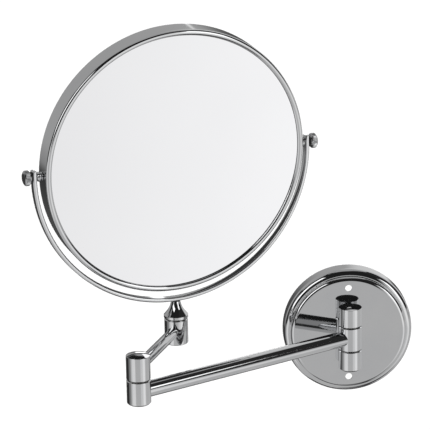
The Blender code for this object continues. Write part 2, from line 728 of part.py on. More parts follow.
def bezel_profile():
    """The flat ring that closes the back, flush with the rim."""
    back = -RIM_HALF_DEPTH
    outer = SEAT_RADIUS + 0.1 * MM
    return [
        (LIP_RADIUS, back + BEZEL_THICKNESS),
        (outer, back + BEZEL_THICKNESS),
        (outer, back),
        (LIP_RADIUS + 0.5 * MM, back),
        (LIP_RADIUS, back + 0.4 * MM),
    ]


def build_mirror_head(parent):
    lay = Matrix.Translation((0.0, -RIM_FORWARD, 0.0)) @ FACING_FRONT
    rim = turned("mirror_rim", rim_profile(), "chrome", parent, RIM_SIDES, True, lay)
    glass_front = RIM_HALF_DEPTH - LIP_THICKNESS - GLASS_GAP
    glass_back = glass_front - GLASS_THICKNESS
    glass = rod_profile(SEAT_RADIUS, glass_back, glass_front)
    turned("front_glass", glass, "mirror", parent, RIM_SIDES, False, lay)
    gasket_high = glass_back - GLASS_GAP
    gasket = tube_profile(SEAT_RADIUS - GASKET_WIDTH, SEAT_RADIUS, gasket_high - GASKET_THICKNESS,
                          gasket_high)
    turned("glass_gasket", gasket, "rubber", parent, RIM_SIDES, True, lay)
    inner_frame = tube_profile(FRAME_INNER_RADIUS, SEAT_RADIUS, FRAME_LOW, FRAME_HIGH)
    frame = turned("inner_frame", inner_frame, "black_plastic", parent, RIM_SIDES, True, lay)
    turned("magnifying_glass", magnifier_profile(), "mirror", parent, RIM_SIDES, False, lay)
    turned("rear_bezel", bezel_profile(), "chrome", parent, RIM_SIDES, True, lay)
    for side, word in ((-1, "left"), (1, "right")):
        build_pivot(rim, frame, side, word, parent)


def build_pivot(rim, frame, side, word, parent):
    """One side's threaded block in the rim, and the turned bead between rim and yoke."""
    lay = FACING_RIGHT if side > 0 else FACING_LEFT
    hole = rod_helper(f"cut_rim_{word}", SHANK_HOLE, 98 * MM, 105 * MM, parent, lay)
    combine(rim, hole, "DIFFERENCE")
    outer = RIM_RADIUS - RIM_SHEET - GAP
    reach = sorted((side * (BOSS_INNER - GAP), side * (outer + 2 * MM)))
    pocket = box_helper(f"cut_frame_{word}", (reach[0], -6 * MM, -BOSS_HALF_HEIGHT - GAP),
                        (reach[1], 6 * MM, BOSS_HALF_HEIGHT + GAP), parent)
    combine(frame, pocket, "DIFFERENCE")

    bm = bmesh.new()
    bmesh.ops.create_cube(bm, size=1.0)
    corner = math.sqrt(outer * outer - BOSS_HALF_HEIGHT * BOSS_HALF_HEIGHT) - 0.1 * MM
    size = Vector((corner - BOSS_INNER, 2 * BOSS_HALF_WIDTH, 2 * BOSS_HALF_HEIGHT, 1.0))
    middle = Matrix.Translation((side * (corner + BOSS_INNER) / 2, 0.0, 0.0))
    bm.transform(middle @ Matrix.Diagonal(size))
    boss = finish(f"pivot_boss_{word}", bm, "steel", parent)
    thread = rod_helper(f"cut_boss_{word}", SHANK_HOLE, 90 * MM, 105 * MM, parent, lay)
    combine(boss, thread, "DIFFERENCE")

    low = RIM_RADIUS + GAP
    high = YOKE_RADIUS - YOKE_THICKNESS - GAP
    ball = high - BEAD_BALL
    bead = [
        (SHANK_HOLE, high),
        (BEAD_NECK_RADIUS + 0.2 * MM, high),
        (BEAD_RADIUS - 0.25 * MM, ball + 1.2 * MM),
        (BEAD_RADIUS, ball),
        (BEAD_RADIUS - 0.35 * MM, ball - 1.0 * MM),
        (BEAD_NECK_RADIUS, low + 0.95 * MM),
        (BEAD_FOOT_RADIUS, low + 0.4 * MM),
        (BEAD_FOOT_RADIUS, low),
        (SHANK_HOLE, low),
    ]
    turned(f"pivot_bead_{word}", bead, "chrome", parent, 16, True, lay)


def build_thumbscrew(side, word, parent):
    """A knurled head on a collar, with the threaded shank that reaches into the boss."""
    profile = [
        (0.0, KNOB_END),
        (KNOB_RADIUS - 1.4 * MM, KNOB_END - 0.1 * MM),
        (KNOB_RADIUS, KNOB_END - KNOB_EDGE),
        (KNOB_RADIUS, KNOB_START + KNOB_COLLAR_HEIGHT + 0.7 * MM),
        (KNOB_RADIUS - 0.9 * MM, KNOB_START + KNOB_COLLAR_HEIGHT),
        (KNOB_COLLAR_RADIUS, KNOB_START + KNOB_COLLAR_HEIGHT),
        (KNOB_COLLAR_RADIUS, KNOB_START),
        (SHANK_RADIUS, KNOB_START),
        (SHANK_RADIUS, SHANK_END),
        (0.0, SHANK_END),
    ]
    lay = FACING_RIGHT if side > 0 else FACING_LEFT
    turned(f"thumbscrew_{word}", profile, "chrome", parent, 20, False, lay)


def build_mirror():
    clear_scene()
    wall = frame_empty("wall_frame", None, (0.0, 0.0, 0.0))
    build_wall_plate(wall)
    build_wall_spacer(wall)
    build_bracket_screws(wall)

    hinge = frame_empty("wall_hinge_frame", wall, (0.0, -BASE_AXIS_DEPTH, 0.0))
    build_bracket_knuckles(hinge)
    build_base_hardware(hinge)

    arm_axis = frame_empty("arm_swing_axis", hinge, (0.0, 0.0, 0.0), (0.0, 0.0, 180.0 + ARM_ANGLE))
    build_main_arm(arm_axis)
    arm_end = frame_empty("arm_end_frame", arm_axis, (ARM_LENGTH, 0.0, 0.0))
    build_elbow_lower(arm_end)

    elbow_turn = FOREARM_ANGLE - 180.0 - ARM_ANGLE
    elbow_axis = frame_empty("elbow_swing_axis", arm_end, (0.0, 0.0, 0.0), (0.0, 0.0, elbow_turn))
    build_forearm(elbow_axis)
    forearm_end = frame_empty("forearm_end_frame", elbow_axis, (FOREARM_LENGTH, 0.0, 0.0))
    build_stem_socket(forearm_end)

    stem_turn = YOKE_ANGLE - FOREARM_ANGLE
    stem_axis = frame_empty("stem_swivel_axis", forearm_end, (0.0, 0.0, 0.0), (0.0, 0.0, stem_turn))
    build_stem(stem_axis)
    build_yoke(stem_axis)

    tilt_axis = frame_empty("mirror_tilt_axis", stem_axis, (0.0, 0.0, PIVOT_HEIGHT),
                            (MIRROR_TILT, 0.0, 0.0))
    build_mirror_head(tilt_axis)
    build_thumbscrew(-1, "left", tilt_axis)
    build_thumbscrew(1, "right", tilt_axis)


build_mirror()
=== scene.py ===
"""Looks of the extendable shaving mirror: polished chrome, silvered glass, camera and studio.

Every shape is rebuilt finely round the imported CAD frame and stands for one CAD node.
Units are metres. Each group of pieces is drawn in the frame of its own joint: Z up the
joint's axis and X along the arm, or X along the pivot axis in the mirror's head.
"""

import json
import math

import bmesh
import bpy
from mathutils import Matrix, Vector


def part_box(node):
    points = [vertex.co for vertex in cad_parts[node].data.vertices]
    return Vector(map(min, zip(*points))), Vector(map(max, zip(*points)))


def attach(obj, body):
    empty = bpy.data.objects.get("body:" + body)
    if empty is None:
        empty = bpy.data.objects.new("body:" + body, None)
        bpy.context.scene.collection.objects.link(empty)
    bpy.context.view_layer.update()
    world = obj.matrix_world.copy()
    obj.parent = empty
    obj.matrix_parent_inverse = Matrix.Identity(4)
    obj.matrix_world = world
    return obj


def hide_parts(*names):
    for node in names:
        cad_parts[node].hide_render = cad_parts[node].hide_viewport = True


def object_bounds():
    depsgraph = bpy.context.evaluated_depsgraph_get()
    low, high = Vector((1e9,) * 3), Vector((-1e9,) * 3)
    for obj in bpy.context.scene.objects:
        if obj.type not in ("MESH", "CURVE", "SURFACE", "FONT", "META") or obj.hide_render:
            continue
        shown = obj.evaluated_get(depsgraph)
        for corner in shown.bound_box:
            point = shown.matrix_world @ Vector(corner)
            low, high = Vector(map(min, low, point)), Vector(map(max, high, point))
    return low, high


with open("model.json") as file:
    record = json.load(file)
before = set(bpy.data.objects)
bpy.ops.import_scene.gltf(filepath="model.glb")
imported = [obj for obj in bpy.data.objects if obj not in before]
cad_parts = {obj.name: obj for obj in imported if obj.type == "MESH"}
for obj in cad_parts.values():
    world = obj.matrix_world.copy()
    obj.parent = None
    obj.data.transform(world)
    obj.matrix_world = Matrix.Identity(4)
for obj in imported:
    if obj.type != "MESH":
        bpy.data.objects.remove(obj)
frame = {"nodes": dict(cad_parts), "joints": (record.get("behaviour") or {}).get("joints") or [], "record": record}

CAD_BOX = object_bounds()

MM = 0.001
GAP = 0.3 * MM  # clearance that the CAD leaves between neighbours

# Segments round each kind of turned piece, then the widest step along a rounded corner and
# the fewest steps that it takes.
RIM_SIDES = 288
PLATE_SIDES = 192
BARREL_SIDES = 96
SMALL_SIDES = 48
CORNER_STEP = math.radians(9.0)
CORNER_LEAST = 3
HOLD = 0.08 * MM  # how near an extra loop stands to a corner, to keep its flat sides flat
HOLD_ROOM = 3 * HOLD  # the least flat left beyond a corner that gets such a loop
SHARP_ANGLE = math.radians(40.0)  # edges sharper than this stay sharp when shaded smooth
MERGE_DISTANCE = 1e-7

# Camera, fitted to the outlines of the object.
CAMERA_AZIMUTH = -3.82
CAMERA_ELEVATION = 17.58
CAMERA_ROLL = -1.007
CAMERA_DISTANCE = 2.0832
CAMERA_AIM = Vector((-0.10427, -0.06, 0.11237))
CAMERA_LENS = 235.7
CAMERA_SENSOR = 36.0
CAMERA_CLIP = (0.1, 50.0)

BODY_OF = {node: body for body, nodes in frame["record"]["behaviour"]["bodies"].items()
           for node in nodes}
JOINTS = {joint["name"]: joint for joint in frame["joints"]}


# ---------------------------------------------------------------- places from the frame


def place_of(joint):
    return Vector(JOINTS[joint]["pos_m"])


def standing(origin, along):
    """A frame at origin, Z up and X level along a direction."""
    return Matrix.Translation(origin) @ Matrix.Rotation(math.atan2(along.y, along.x), 4, "Z")


def tilt_of(node):
    """How far a disc's face leans from upright, from the normal of its widest facet."""
    widest = max(frame["nodes"][node].data.polygons, key=lambda p: p.area)
    normal = widest.normal if widest.normal.y < 0 else -widest.normal
    return math.asin(-normal.z)


def size_of(node, lay):
    """Lowest and highest corners of a CAD node, in the frame lay."""
    inverse = lay.inverted()
    points = [inverse @ v.co for v in frame["nodes"][node].data.vertices]
    low = Vector([min(p[i] for p in points) for i in range(3)])
    high = Vector([max(p[i] for p in points) for i in range(3)])
    return low, high


BASE = place_of("arm_swing")
ELBOW = place_of("elbow_swing")
STEM = place_of("stem_swivel")
PIVOT = place_of("mirror_tilt")
PIVOT_AXIS = Vector(JOINTS["mirror_tilt"]["axis"])

BASE_LAY = Matrix.Translation(BASE)
ARM_LAY = standing(BASE, ELBOW - BASE)
ELBOW_LAY = standing(ELBOW, ELBOW - BASE)
FOREARM_LAY = standing(ELBOW, STEM - ELBOW)
SOCKET_LAY = standing(STEM, STEM - ELBOW)
STEM_LAY = standing(STEM, PIVOT_AXIS)
HEAD_LAY = standing(PIVOT, PIVOT_AXIS) @ Matrix.Rotation(tilt_of("front_glass"), 4, "X")

FRONT = Matrix.Rotation(math.pi / 2, 4, "X")  # Z to -Y
RIGHT = Matrix.Rotation(math.pi / 2, 4, "Y")  # Z to +X
LEFT = Matrix.Rotation(-math.pi / 2, 4, "Y")  # Z to -X


# ---------------------------------------------------------------- mesh tools


def rounded(corners, closed=False):
    """(radius, height, fillet) corners to points, each fillet an arc with a holding loop."""
    points = []
    count = len(corners)
    for i, (x, y, fillet) in enumerate(corners):
        here = Vector((x, y))
        inside = closed or 0 < i < count - 1
        if fillet <= 0.0 or not inside:
            points.append((x, y))
            continue
        before = Vector(corners[i - 1][:2]) - here
        after = Vector(corners[(i + 1) % count][:2]) - here
        spread = before.angle(after)
        reach = fillet / math.tan(spread / 2)
        first = before.normalized()
        second = after.normalized()
        center = here + (first + second).normalized() * fillet / math.sin(spread / 2)
        start = here + first * reach
        end = here + second * reach
        if before.length > reach + HOLD_ROOM:
            points.append(tuple(start + first * HOLD))
        turn = math.pi - spread
        steps = max(CORNER_LEAST, math.ceil(turn / CORNER_STEP))
        a = start - center
        b = end - center
        for k in range(steps + 1):
            share = k / steps
            mix = a * math.sin((1 - share) * turn) + b * math.sin(share * turn)
            points.append(tuple(center + mix / math.sin(turn)))
        if after.length > reach + HOLD_ROOM:
            points.append(tuple(end + second * HOLD))
    return points


def ring(bm, points):
    return [bm.verts.new(point) for point in points]


def stitch(bm, first, second):
    """Faces between two rings of equal count, or between a ring and a single point."""
    count = max(len(first), len(second))
    for i in range(count):
        j = (i + 1) % count
        loop = [first[i % len(first)], first[j % len(first)],
                second[j % len(second)], second[i % len(second)]]
        bm.faces.new(list(dict.fromkeys(loop)))


def spun(profile, sides, closed=False, radius_at=None):
    """Turns (radius, height) points about Z. radius_at(radius, height, angle) may shape it."""
    bm = bmesh.new()
    rings = []
    for radius, height in profile:
        if radius < MERGE_DISTANCE:
            rings.append(ring(bm, [(0.0, 0.0, height)]))
            continue
        points = []
        for k in range(sides):
            angle = 2 * math.pi * k / sides
            r = radius_at(radius, height, angle) if radius_at else radius
            points.append((r * math.cos(angle), r * math.sin(angle), height))
        rings.append(ring(bm, points))
    pairs = list(zip(rings, rings[1:]))
    if closed:
        pairs.append((rings[-1], rings[0]))
    for first, second in pairs:
        stitch(bm, first, second)
    return bm


def rod(radius, low, high, sides=SMALL_SIDES):
    return spun([(0.0, high), (radius, high), (radius, low), (0.0, low)], sides)


def drill(radius, low, high, lay, place):
    """A rod that cuts a hole, from low to high along the Z of lay, moved to a place."""
    bm = rod(radius, low, high)
    bm.transform(Matrix.Translation(Vector(place)) @ lay)
    return bm


def to_object(name, bm, material):
    bmesh.ops.remove_doubles(bm, verts=bm.verts, dist=MERGE_DISTANCE)
    bmesh.ops.recalc_face_normals(bm, faces=bm.faces)
    mesh = bpy.data.meshes.new(name)
    bm.to_mesh(mesh)
    bm.free()
    mesh.materials.append(material)
    obj = bpy.data.objects.new(name, mesh)
    bpy.context.scene.collection.objects.link(obj)
    return obj


def boolean(obj, tools):
    """Cuts or joins bmeshes, given as (operation, bmesh), and keeps the plain result."""
    helpers = []
    for operation, bm in tools:
        helper = to_object("helper", bm, obj.data.materials[0])
        helpers.append(helper)
        modifier = obj.modifiers.new("boolean", "BOOLEAN")
        modifier.operation = operation
        modifier.solver = "EXACT"
        modifier.object = helper
    depsgraph = bpy.context.evaluated_depsgraph_get()
    mesh = bpy.data.meshes.new_from_object(obj.evaluated_get(depsgraph))
    obj.modifiers.clear()
    old = obj.data
    obj.data = mesh
    bpy.data.meshes.remove(old)
    mesh.name = obj.name
    for helper in helpers:
        used = helper.data
        bpy.data.objects.remove(helper)
        bpy.data.meshes.remove(used)


def stand_for(node, bm, slot, lay, tools=()):
    """A finished piece in place of one CAD node, riding on that node's body."""
    bm.transform(lay)
    for _, tool in tools:
        tool.transform(lay)
    obj = to_object(node + "_finish", bm, MATERIALS[slot])
    if tools:
        boolean(obj, tools)
    obj.data.shade_smooth()
    obj.data.set_sharp_from_angle(angle=SHARP_ANGLE)
    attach(obj, BODY_OF[node])
    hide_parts(node)


# ---------------------------------------------------------------- materials


# The ramp that turns a noise's middle range into a blend, and the sockets of a colour mix.
BLEND_START, BLEND_END = 0.3, 0.7
MIX_FIRST, MIX_SECOND, MIX_RESULT = 6, 7, 2

# Where painted shade starts on the front glass, standing for the shadowed gap under the lip: just inside the lip,
# as a distance from the / middle of the pivot axis. Beyond it the glass's colour is painted dark.
BEZEL_WIDTH = 2.75 * MM
GAP_SHADE_SHOWN = 0.25 * MM
LIP_RADIUS = size_of("rear_bezel", HEAD_LAY)[1].x - BEZEL_WIDTH
GAP_SHADE_START = math.hypot(LIP_RADIUS - GAP_SHADE_SHOWN, size_of("front_glass", HEAD_LAY)[0].y)
GAP_SHADE_FADE = 0.1 * MM
# Colour of the painted shade in the gap between the lip and the glass.
GAP_SHADE_COLOR = (0.06, 0.06, 0.062)


def new_material(name, color, roughness, metallic):
    """A Principled material with its uniform values on the shader's own sockets."""
    material = bpy.data.materials.new(name)
    material.use_nodes = True
    nodes = material.node_tree.nodes
    links = material.node_tree.links
    shader = nodes["Principled BSDF"]
    shader.inputs["Base Color"].default_value = (*color, 1.0)
    shader.inputs["Roughness"].default_value = roughness
    shader.inputs["Metallic"].default_value = metallic
    coords = nodes.new("ShaderNodeTexCoord")
    return material, nodes, links, shader, coords.outputs["Object"]


def noise(nodes, links, vector, scale, detail):
    texture = nodes.new("ShaderNodeTexNoise")
    texture.inputs["Scale"].default_value = scale
    texture.inputs["Detail"].default_value = detail
    links.new(vector, texture.inputs["Vector"])
    return texture.outputs["Fac"]


def mapped(nodes, links, value, low, high, start=BLEND_START, end=BLEND_END):
    remap = nodes.new("ShaderNodeMapRange")
    remap.inputs["From Min"].default_value = start
    remap.inputs["From Max"].default_value = end
    remap.inputs["To Min"].default_value = low
    remap.inputs["To Max"].default_value = high
    links.new(value, remap.inputs["Value"])
    return remap.outputs["Result"]


def blended(nodes, links, value, first, second):
    ramp = nodes.new("ShaderNodeValToRGB")
    stops = zip(ramp.color_ramp.elements, (BLEND_START, BLEND_END), (first, second))
    for stop, position, color in stops:
        stop.position = position
        stop.color = (*color, 1.0)
    links.new(value, ramp.inputs["Fac"])
    return ramp.outputs["Color"]


def bumped(nodes, links, shader, height, strength, distance):
    bump = nodes.new("ShaderNodeBump")
    bump.inputs["Strength"].default_value = strength
    bump.inputs["Distance"].default_value = distance
    links.new(height, bump.inputs["Height"])
    links.new(bump.outputs["Normal"], shader.inputs["Normal"])


def make_chrome():
    """Bright plated metal: almost no roughness, with faint cloudy and fine variation."""
    material, nodes, links, shader, place = new_material("chrome", (0.60, 0.605, 0.61), 0.04, 1.0)
    cloud = noise(nodes, links, place, 35.0, 3.0)
    links.new(blended(nodes, links, cloud, (0.585, 0.59, 0.60), (0.615, 0.617, 0.62)),
              shader.inputs["Base Color"])
    fine = noise(nodes, links, place, 420.0, 5.0)
    links.new(mapped(nodes, links, fine, 0.02, 0.07), shader.inputs["Roughness"])
    wave = noise(nodes, links, place, 160.0, 2.0)
    bumped(nodes, links, shader, wave, 0.05, 0.05 * MM)
    return material


def make_mirror():
    """Silvered glass: the silver's colour under a clear face, with painted shade in a thin ring where it meets the
    lip.
    """
    material, nodes, links, shader, place = new_material("mirror", (0.867, 0.867, 0.879), 0.01, 1.0)
    cloud = noise(nodes, links, place, 12.0, 2.0)
    silver = blended(nodes, links, cloud, (0.860, 0.860, 0.872), (0.874, 0.874, 0.886))
    # Painted shade: the base colour turns dark just inside the lip, standing for the shadowed gap between lip and
    # glass.
    away = nodes.new("ShaderNodeVectorMath")
    away.operation = "DISTANCE"
    links.new(place, away.inputs[0])
    away.inputs[1].default_value = PIVOT
    edge = mapped(nodes, links, away.outputs["Value"], 0.0, 1.0, GAP_SHADE_START - GAP_SHADE_FADE,
                  GAP_SHADE_START + GAP_SHADE_FADE)
    mix = nodes.new("ShaderNodeMix")
    mix.data_type = "RGBA"
    links.new(edge, mix.inputs["Factor"])
    links.new(silver, mix.inputs[MIX_FIRST])
    mix.inputs[MIX_SECOND].default_value = (*GAP_SHADE_COLOR, 1.0)
    links.new(mix.outputs[MIX_RESULT], shader.inputs["Base Color"])
    fine = noise(nodes, links, place, 300.0, 4.0)
    links.new(mapped(nodes, links, fine, 0.004, 0.02), shader.inputs["Roughness"])
    return material


def make_steel():
    material, nodes, links, shader, place = new_material("steel", (0.52, 0.53, 0.55), 0.3, 1.0)
    cloud = noise(nodes, links, place, 220.0, 4.0)
    links.new(blended(nodes, links, cloud, (0.44, 0.45, 0.47), (0.60, 0.61, 0.63)),
              shader.inputs["Base Color"])
    links.new(mapped(nodes, links, cloud, 0.22, 0.42), shader.inputs["Roughness"])
    bumped(nodes, links, shader, cloud, 0.15, 0.05 * MM)
    return material


def make_moulded(name, first, second, low, high):
    """Moulded nylon, plastic or rubber with a fine even grain."""
    material, nodes, links, shader, place = new_material(name, first, low, 0.0)
    cloud = noise(nodes, links, place, 150.0, 4.0)
    links.new(blended(nodes, links, cloud, first, second), shader.inputs["Base Color"])
    grain = noise(nodes, links, place, 1600.0, 3.0)
    links.new(mapped(nodes, links, grain, low, high), shader.inputs["Roughness"])
    bumped(nodes, links, shader, grain, 0.2, 0.04 * MM)
    return material


# One material for each slot that the CAD names.
MATERIALS = {
    "chrome": make_chrome(),
    "mirror": make_mirror(),
    "steel": make_steel(),
    "nylon": make_moulded("nylon", (0.80, 0.79, 0.75), (0.86, 0.85, 0.81), 0.40, 0.55),
    "black_plastic": make_moulded("black_plastic", (0.018, 0.018, 0.019),
                                  (0.035, 0.035, 0.036), 0.38, 0.55),
    "rubber": make_moulded("rubber", (0.012, 0.012, 0.012), (0.022, 0.022, 0.022), 0.70, 0.85),
}


# ---------------------------------------------------------------- wall plate


PLATE_LOW, PLATE_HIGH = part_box("wall_plate")
PLATE_RADIUS = PLATE_HIGH.x
PLATE_DEPTH = -PLATE_LOW.y
PLATE_SHEET = 1.2 * MM
PLATE_SHOULDER = 4.4 * MM
PLATE_STEP_DEPTH = 14.0 * MM
PLATE_STEP_FOOT = 4.9 * MM  # how far in from the skirt the step starts, and where it ends
PLATE_STEP_HEAD = 4.7 * MM
PLATE_EDGE = 3.0 * MM  # rounding between the step and the face
PLATE_CREASE = 0.3 * MM  # rounding at the step's foot, outside and inside
PLATE_CREASE_INSIDE = 0.5 * MM
PLATE_CUT = 0.2 * MM  # rounding of the sheet's cut edge at the wall
PLATE_DRILL = (10 * MM, 25 * MM)  # depths between which the holes are cut
WALL_SCREW_OFFSET = 36.0 * MM
WALL_SCREW_HOLE = 2.65 * MM
BRACKET_SCREW_OFFSET = 17.6 * MM
BRACKET_SCREW_HOLE = 1.9 * MM


def plate_corners():
    """Face, step, rounded shoulder and skirt, then the same sheet from inside."""
    outer, depth, sheet = PLATE_RADIUS, PLATE_DEPTH, PLATE_SHEET
    inside = outer - sheet
    return [
        (0.0, depth, 0.0),
        (outer - PLATE_STEP_HEAD, depth, PLATE_EDGE),
        (outer - PLATE_STEP_FOOT, PLATE_STEP_DEPTH, PLATE_CREASE),
        (outer, PLATE_STEP_DEPTH, PLATE_SHOULDER),
        (outer, 0.0, PLATE_CUT),
        (inside, 0.0, PLATE_CUT),
        (inside, PLATE_STEP_DEPTH - sheet, PLATE_SHOULDER - sheet),
        (inside - PLATE_STEP_FOOT, PLATE_STEP_DEPTH - sheet, PLATE_CREASE_INSIDE),
        (inside - PLATE_STEP_HEAD, depth - sheet, PLATE_EDGE - sheet),
        (0.0, depth - sheet, 0.0),
    ]


def build_wall_plate():
    bm = spun(rounded(plate_corners()), PLATE_SIDES)
    bm.transform(FRONT)
    tools = []
    for side in (1, -1):
        for radius, offset in ((WALL_SCREW_HOLE, WALL_SCREW_OFFSET),
                               (BRACKET_SCREW_HOLE, BRACKET_SCREW_OFFSET)):
            tools.append(("DIFFERENCE", drill(radius, *PLATE_DRILL, FRONT,
                                              (0.0, 0.0, side * offset))))
    stand_for("wall_plate", bm, "chrome", Matrix.Identity(4), tools)


# ---------------------------------------------------------------- hinge barrels


BARREL_RADIUS = size_of("stem_socket", SOCKET_LAY)[1].y
BARREL_CROWN = 1.3 * MM
CROWN_STEPS = 14
BARREL_EDGE = 0.35 * MM  # rounding where a dome meets its barrel
DOME_FILLET = BARREL_EDGE * 0.6
LINE_CHAMFER = 0.5 * MM  # chamfer either side of an open line, and the rounding of its corners
LINE_EDGE = 0.12 * MM
FOOT_CHAMFER = 1.0 * MM  # chamfer round an end cap, and the rounding of its corners
FOOT_EDGE = 0.25 * MM
CAP_RADIUS = size_of("base_end_cap", BASE_LAY)[1].y
CAP_EDGE = 0.15 * MM
CAP_LIP = 1.2 * MM  # flat rim round a cap's shallow hollow, the hollow's slope and its depth
CAP_SLOPE = 0.3 * MM
CAP_HOLLOW = 0.3 * MM
CAP_FILLET = 0.2 * MM
RECESS_RADIUS = CAP_RADIUS + GAP
RECESS_EDGE = 0.1 * MM
BASE_RECESS = 5.1 * MM  # how deep each recess goes in from its barrel's end
ELBOW_RECESS = 4.6 * MM
SOCKET_RECESS = 5.5 * MM
PIN_HOLE = 2.5 * MM + GAP
TIP_HOLE = 1.7 * MM + GAP
BASE_PIN_LEVELS = (19.0 * MM, 22.0 * MM)  # where the pin's hole narrows, and where it ends
ELBOW_PIN_LEVELS = (21.5 * MM, 25.0 * MM)
BUSH_BORE = size_of("base_bush", ARM_LAY)[1].y + GAP
WASHER_SEAT = size_of("base_washer_upper", BASE_LAY)[1].y + GAP
WASHER_HEIGHT = 1.4 * MM
FOOT_WIDTH = 6.4 * MM
FOOT_HEIGHT = 11.0 * MM
FOOT_MIDDLE = 17.6 * MM
FOOT_START = 7.0 * MM  # inside the barrel, so that the two join
FOOT_CORNER = 0.4 * MM
FOOT_CORNER_STEPS = 3


def dome(top):
    """The domed end of a barrel, as far as the start of its rounded edge."""
    radius, crown = BARREL_RADIUS, BARREL_CROWN
    curve = (radius * radius + crown * crown) / (2.0 * crown)
    points = []
    for i in range(CROWN_STEPS):
        r = (radius - BARREL_EDGE) * i / (CROWN_STEPS - 1)
        points.append((r, top - (curve - math.sqrt(curve * curve - r * r)), 0.0))
    return points


def line_end(z, side, edge=LINE_EDGE):
    """A barrel's chamfered corner at an open line: side is 1 at its top, -1 at its bottom."""
    corners = [(BARREL_RADIUS - LINE_CHAMFER, z, edge),
               (BARREL_RADIUS, z - side * LINE_CHAMFER, edge)]
    return corners if side > 0 else corners[::-1]


def washer_seat(z, side, bore):
    """The step that holds a washer in an open line, from the bore out at a barrel's top."""
    bottom = z - side * WASHER_HEIGHT
    corners = [(bore, bottom, 0.0), (WASHER_SEAT, bottom, 0.0), (WASHER_SEAT, z, 0.0)]
    return corners if side > 0 else corners[::-1]


def capped_end(low, depth, bore):
    """A barrel's lower end: its chamfer, then the end cap's recess as far in as the bore."""
    return [
        (BARREL_RADIUS, low + FOOT_CHAMFER, FOOT_EDGE),
        (BARREL_RADIUS - FOOT_CHAMFER, low, FOOT_EDGE),
        (RECESS_RADIUS, low, RECESS_EDGE),
        (RECESS_RADIUS, low + depth, 0.0),
        (bore, low + depth, 0.0),
    ]


def pin_hole(levels):
    """The blind end of a pin's hole, narrower round the pin's tip."""
    narrowing, end = levels
    return [(PIN_HOLE, narrowing, 0.0), (TIP_HOLE, narrowing, 0.0), (TIP_HOLE, end, 0.0),
            (0.0, end, 0.0)]


def build_domed_barrel(node, lay, low, top, inside, tools=()):
    corners = dome(top)
    corners.append((BARREL_RADIUS, top - BARREL_CROWN, DOME_FILLET))
    corners += line_end(low, -1) + inside
    stand_for(node, spun(rounded(corners), BARREL_SIDES), "chrome", lay, tools)


def build_open_barrel(node, lay, corners, tools=()):
    bm = spun(rounded(corners, closed=True), BARREL_SIDES, closed=True)
    stand_for(node, bm, "chrome", lay, tools)


def rounded_box(low, high, corner):
    bm = bmesh.new()
    bmesh.ops.create_cube(bm, size=1.0)
    low, high = Vector(low), Vector(high)
    bm.transform(Matrix.Translation((low + high) / 2) @ Matrix.Diagonal((*(high - low), 1.0)))
    bmesh.ops.bevel(bm, geom=bm.edges, offset=corner, segments=FOOT_CORNER_STEPS,
                    affect="EDGES", profile=0.5)
    return bm


def foot(middle):
    """The cast foot between a fixed knuckle and the plate."""
    end = -BASE.y - PLATE_DEPTH - GAP
    low = (-FOOT_WIDTH / 2, FOOT_START, middle - FOOT_HEIGHT / 2)
    high = (FOOT_WIDTH / 2, end, middle + FOOT_HEIGHT / 2)
    return rounded_box(low, high, FOOT_CORNER)


def build_bracket_knuckles():
    low, high = size_of("upper_bracket_knuckle", BASE_LAY)
    inside = [(PIN_HOLE, low.z, 0.0)] + pin_hole(BASE_PIN_LEVELS)
    build_domed_barrel("upper_bracket_knuckle", BASE_LAY, low.z, high.z, inside,
                       [("UNION", foot(FOOT_MIDDLE))])

    low, high = size_of("lower_bracket_knuckle", BASE_LAY)
    corners = [(PIN_HOLE, high.z, 0.0)]
    corners += line_end(high.z, 1) + capped_end(low.z, BASE_RECESS, PIN_HOLE)
    build_open_barrel("lower_bracket_knuckle", BASE_LAY, corners,
                      [("UNION", foot(-FOOT_MIDDLE))])


def end_cap(low, high):
    """A press-in plug with a shallow turned hollow."""
    hollow = low + CAP_HOLLOW
    return rounded([
        (0.0, high, 0.0),
        (CAP_RADIUS, high, CAP_EDGE),
        (CAP_RADIUS, low, 2 * CAP_EDGE),
        (CAP_RADIUS - CAP_LIP, low, CAP_FILLET),
        (CAP_RADIUS - CAP_LIP - CAP_SLOPE, hollow, CAP_FILLET),
        (0.0, hollow, 0.0),
    ])


def build_end_caps():
    for node, lay in (("base_end_cap", BASE_LAY), ("elbow_end_cap", ELBOW_LAY)):
        low, high = size_of(node, lay)
        stand_for(node, spun(end_cap(low.z, high.z), BARREL_SIDES), "chrome", lay)


def build_base_swivel():
    low, high = size_of("base_swivel_knuckle", ARM_LAY)
    corners = washer_seat(high.z, 1, BUSH_BORE) + line_end(high.z, 1)
    corners += line_end(low.z, -1) + washer_seat(low.z, -1, BUSH_BORE)
    build_open_barrel("base_swivel_knuckle", ARM_LAY, corners)


def build_elbow():
    low, high = size_of("elbow_lower_knuckle", ELBOW_LAY)
    corners = [(BUSH_BORE, high.z, 0.0)]
    corners += line_end(high.z, 1) + capped_end(low.z, ELBOW_RECESS, BUSH_BORE)
    build_open_barrel("elbow_lower_knuckle", ELBOW_LAY, corners)

    low, high = size_of("elbow_upper_knuckle", FOREARM_LAY)
    inside = washer_seat(low.z, -1, PIN_HOLE) + pin_hole(ELBOW_PIN_LEVELS)
    build_domed_barrel("elbow_upper_knuckle", FOREARM_LAY, low.z, high.z, inside)


# ---------------------------------------------------------------- arms


ARM_WALL = 1.2 * MM
COPE_GAP = 0.03 * MM
TUBE_SIDES = 96


